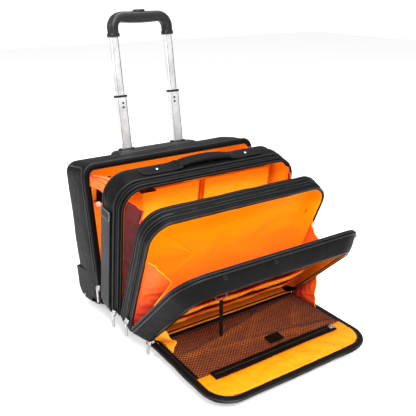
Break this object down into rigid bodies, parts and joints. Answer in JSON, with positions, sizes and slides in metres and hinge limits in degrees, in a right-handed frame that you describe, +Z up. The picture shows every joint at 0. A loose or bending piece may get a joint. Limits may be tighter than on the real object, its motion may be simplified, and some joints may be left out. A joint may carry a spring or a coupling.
{
  "type": "pilot rolling flight case",
  "caption": "Fabric pilot case on wheels, fanned open: rear shell with telescopic handle, file and document sections, organiser and fold-down front flap with net pocket.",
  "frame": {"origin": "on the floor, on the centre plane, midway between the front and the back of the fanned-open case", "axes": "+Z up, +X across the case to its right seen from the front, and the case opens towards -Y"},
  "size_m": [0.444, 0.6102, 0.6393],
  "materials": {
    "black_fabric": "woven",
    "grey_webbing": "woven",
    "orange_lining": "satin woven",
    "golden_lining": "satin woven",
    "pocket_net": "knitted net",
    "black_plastic": "textured",
    "soft_grip": "soft touch",
    "rubber": "matt",
    "aluminium": "anodised",
    "steel": "gunmetal",
    "chrome": "polished",
    "white_knob": "gloss"
  },
  "bodies": {
    "rear_shell": {"shell_back": "black_plastic", "shell_frame": "black_fabric", "corner_guard_left": "black_plastic", "corner_guard_right": "black_plastic", "axle_left": "steel", "axle_right": "steel", "handle_channel_left": "black_plastic", "handle_channel_right": "black_plastic", "handle_base_bracket": "black_plastic", "handle_bezel": "black_plastic", "inner_pocket": "orange_lining", "pocket_knob": "white_knob", "gusset_shell_left": "orange_lining", "gusset_shell_right": "orange_lining"},
    "wheel_left": {"wheel_hub_left": "black_plastic", "wheel_tyre_left": "rubber"},
    "wheel_right": {"wheel_hub_right": "black_plastic", "wheel_tyre_right": "rubber"},
    "lower_handle": {"lower_tube_left": "aluminium", "lower_tube_right": "aluminium", "tube_collar_left": "black_plastic", "tube_collar_right": "black_plastic"},
    "upper_handle": {"upper_tube_left": "aluminium", "upper_tube_right": "aluminium", "handle_grip": "soft_grip"},
    "grip_button": {"grip_button": "black_plastic"},
    "file_section": {"file_frame": "black_fabric", "file_rim": "black_fabric", "file_back": "orange_lining", "divider_left": "orange_lining", "divider_right": "orange_lining", "handle_anchor_left": "black_fabric", "handle_anchor_right": "black_fabric", "handle_rivet_left": "chrome", "handle_rivet_right": "chrome", "foot_left": "rubber", "foot_right": "rubber", "gusset_file_left": "orange_lining", "gusset_file_right": "orange_lining", "side_webbing": "grey_webbing"},
    "carry_handle": {"carry_handle": "black_fabric"},
    "side_loop": {"side_loop": "steel"},
    "document_section": {"document_frame": "black_fabric", "document_back": "orange_lining", "gusset_document_left": "orange_lining", "gusset_document_right": "orange_lining"},
    "organiser": {"organiser_frame": "black_fabric", "organiser_panel": "orange_lining"},
    "key_clip": {"key_ring": "steel", "key_strap": "black_fabric"},
    "front_flap": {"flap_binding": "black_fabric", "flap_board": "golden_lining", "mesh_pocket": "pocket_net", "mesh_zip_tape": "black_fabric"},
    "shell_pull": {"zip_pull_shell": "steel"},
    "file_pull": {"zip_pull_file": "steel"},
    "document_pull": {"zip_pull_document": "steel"},
    "flap_pull": {"zip_pull_flap": "steel"},
    "mesh_pull": {"zip_pull_mesh": "steel"}
  },
  "joints": [
    {"name": "wheel_left_spin", "type": "hinge", "parent": "rear_shell", "child": "wheel_left", "pos_m": [-0.188, 0.18591, 0.02996], "axis": [1, 0, 0], "continuous": true},
    {"name": "wheel_right_spin", "type": "hinge", "parent": "rear_shell", "child": "wheel_right", "pos_m": [0.188, 0.18591, 0.02996], "axis": [1, 0, 0], "continuous": true},
    {"name": "lower_handle_slide", "type": "slide", "parent": "rear_shell", "child": "lower_handle", "axis": [0, -0.1495, -0.9888], "range_m": [0, 0.1165]},
    {"name": "upper_handle_slide", "type": "slide", "parent": "lower_handle", "child": "upper_handle", "axis": [0, -0.1495, -0.9888], "range_m": [0, 0.1215]},
    {"name": "grip_button_press", "type": "slide", "parent": "upper_handle", "child": "grip_button", "axis": [0, -0.1495, -0.9888], "range_m": [0, 0.003], "stiffness_N_per_m": 800, "springref_m": -0.001},
    {"name": "file_section_fold", "type": "hinge", "parent": "rear_shell", "child": "file_section", "pos_m": [0, 0.10228, 0.05212], "axis": [-1, 0, 0], "range_deg": [0, 17], "deforming": ["gusset_shell_left", "gusset_shell_right"]},
    {"name": "document_section_fold", "type": "hinge", "parent": "file_section", "child": "document_section", "pos_m": [0, 0.02397, 0.0451], "axis": [-1, 0, 0], "range_deg": [0, 14.1], "deforming": ["gusset_file_left", "gusset_file_right"]},
    {"name": "organiser_fold", "type": "hinge", "parent": "document_section", "child": "organiser", "pos_m": [0, -0.02212, 0.04008], "axis": [-1, 0, 0], "range_deg": [0, 23], "deforming": ["gusset_document_left", "gusset_document_right"]},
    {"name": "front_flap_fold", "type": "hinge", "parent": "organiser", "child": "front_flap", "pos_m": [0, -0.06407, 0.02593], "axis": [-1, 0, 0], "range_deg": [0, 44.7]},
    {"name": "key_clip_swing", "type": "hinge", "parent": "organiser", "child": "key_clip", "pos_m": [-0.096, -0.1737, 0.15749], "axis": [1, 0, 0], "range_deg": [0, 45]},
    {"name": "carry_handle_lift", "type": "slide", "parent": "file_section", "child": "carry_handle", "axis": [0, -0.1461, 0.9893], "range_m": [0, 0.012]},
    {"name": "side_loop_swing", "type": "hinge", "parent": "file_section", "child": "side_loop", "pos_m": [-0.2195, 0.04812, 0.26145], "axis": [0, -0.9893, -0.1461], "range_deg": [0, 70]},
    {"name": "shell_pull_swing", "type": "hinge", "parent": "rear_shell", "child": "shell_pull", "pos_m": [-0.2206, 0.11225, 0.07791], "axis": [0, 1, 0], "range_deg": [0, 120]},
    {"name": "file_pull_swing", "type": "hinge", "parent": "file_section", "child": "file_pull", "pos_m": [-0.2203, 0.03948, 0.05295], "axis": [0, 1, 0], "range_deg": [0, 120]},
    {"name": "document_pull_swing", "type": "hinge", "parent": "document_section", "child": "document_pull", "pos_m": [-0.22, -0.01969, 0.06165], "axis": [0, 1, 0], "range_deg": [0, 120]},
    {"name": "flap_pull_swing", "type": "hinge", "parent": "front_flap", "child": "flap_pull", "pos_m": [-0.197, -0.06708, 0.02791], "axis": [0, 1, 0], "range_deg": [0, 110]},
    {"name": "mesh_pull_swing", "type": "hinge", "parent": "front_flap", "child": "mesh_pull", "pos_m": [0.144, -0.22409, 0.03117], "axis": [0.5, 0.866, 0.003], "range_deg": [0, 150]}
  ],
  "couplings": [
    {"joint": "key_clip_swing", "follows": "front_flap_fold", "ratio": 1}
  ]
}
